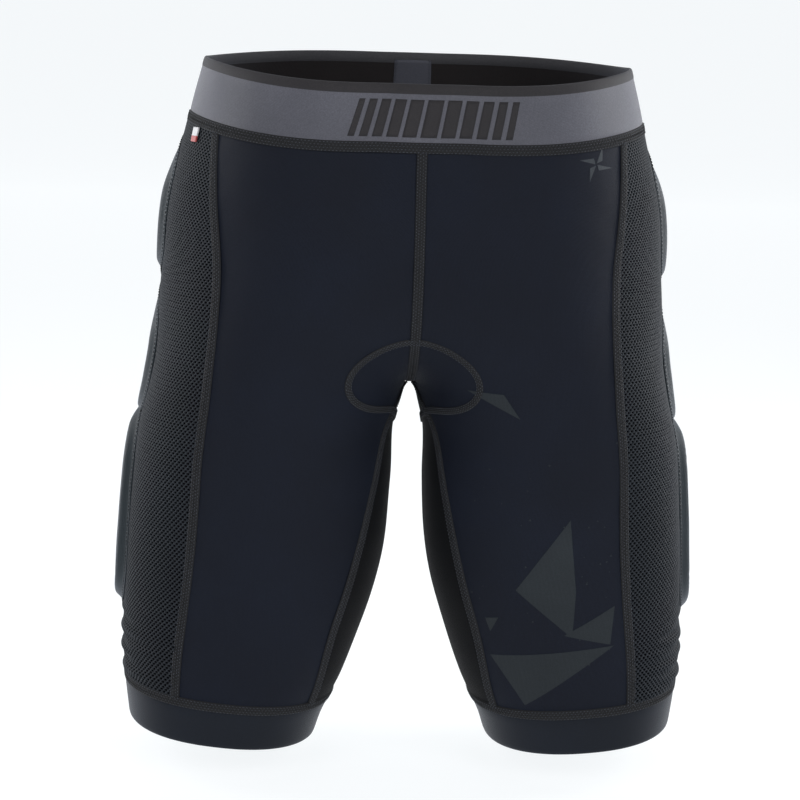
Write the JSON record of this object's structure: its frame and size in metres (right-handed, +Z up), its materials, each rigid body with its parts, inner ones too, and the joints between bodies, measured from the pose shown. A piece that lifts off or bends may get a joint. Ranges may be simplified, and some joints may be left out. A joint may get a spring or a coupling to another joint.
{
  "type": "padded impact shorts",
  "caption": "Knee-length stretch shorts with foam impact pads on the hips, thighs and tailbone, side mesh, seat pad and elastic waistband.",
  "frame": {"origin": "centre of the waist opening, level with the waistband's edge at the sides", "axes": "+Z up along the body, -Y the front, +X the wearer's left"},
  "size_m": [0.434, 0.2399, 0.505],
  "materials": {
    "navy_stretch": "matt knitted stretch cloth",
    "inner_leg_stretch": "matt knitted stretch cloth",
    "side_mesh": "matt open mesh",
    "pad_cover": "smooth knitted cover with a slight sheen",
    "pad_foam": "matt impact foam",
    "lining": "brushed lining",
    "waistband_elastic": "woven elastic with a fine diagonal sheen",
    "woven_label": "woven label",
    "ribbon": "satin ribbon",
    "seam_thread": "flatlock thread",
    "hem_stretch": "smooth bonded hem",
    "gripper_silicone": "silicone print"
  },
  "bodies": {
    "garment": {"back_panel_left": "navy_stretch", "back_panel_right": "navy_stretch", "back_seam": "seam_thread", "front_panel_left": "navy_stretch", "front_panel_right": "navy_stretch", "front_seam": "seam_thread", "hem_band_left": "hem_stretch", "hem_band_right": "hem_stretch", "hem_gripper_left": "gripper_silicone", "hem_gripper_right": "gripper_silicone", "hem_seam_left": "seam_thread", "hem_seam_right": "seam_thread", "hip_pad_core_left": "pad_foam", "hip_pad_core_right": "pad_foam", "hip_pad_cover_left": "pad_cover", "hip_pad_cover_right": "pad_cover", "inner_front_seam_left": "seam_thread", "inner_front_seam_right": "seam_thread", "inner_leg_panel_left": "inner_leg_stretch", "inner_leg_panel_right": "inner_leg_stretch", "inner_rear_seam_left": "seam_thread", "inner_rear_seam_right": "seam_thread", "seat_pad_cover": "lining", "seat_pad_foam": "pad_foam", "side_front_seam_left": "seam_thread", "side_front_seam_right": "seam_thread", "side_mesh_left": "side_mesh", "side_mesh_right": "side_mesh", "side_rear_seam_left": "seam_thread", "side_rear_seam_right": "seam_thread", "tailbone_pad_core": "pad_foam", "tailbone_pad_cover": "lining", "thigh_pad_lower_core_left": "pad_foam", "thigh_pad_lower_core_right": "pad_foam", "thigh_pad_lower_cover_left": "pad_cover", "thigh_pad_lower_cover_right": "pad_cover", "thigh_pad_upper_core_left": "pad_foam", "thigh_pad_upper_core_right": "pad_foam", "thigh_pad_upper_cover_left": "pad_cover", "thigh_pad_upper_cover_right": "pad_cover", "waist_seam": "seam_thread", "waistband": "waistband_elastic", "waistband_label": "woven_label"},
    "tag": {"side_tag": "ribbon"}
  },
  "joints": [
    {"name": "tag_lift", "type": "hinge", "parent": "garment", "child": "tag", "pos_m": [-0.15455, -0.04927, -0.04809], "axis": [-0.434, 0.9009, 0], "range_deg": [0, 100]}
  ]
}
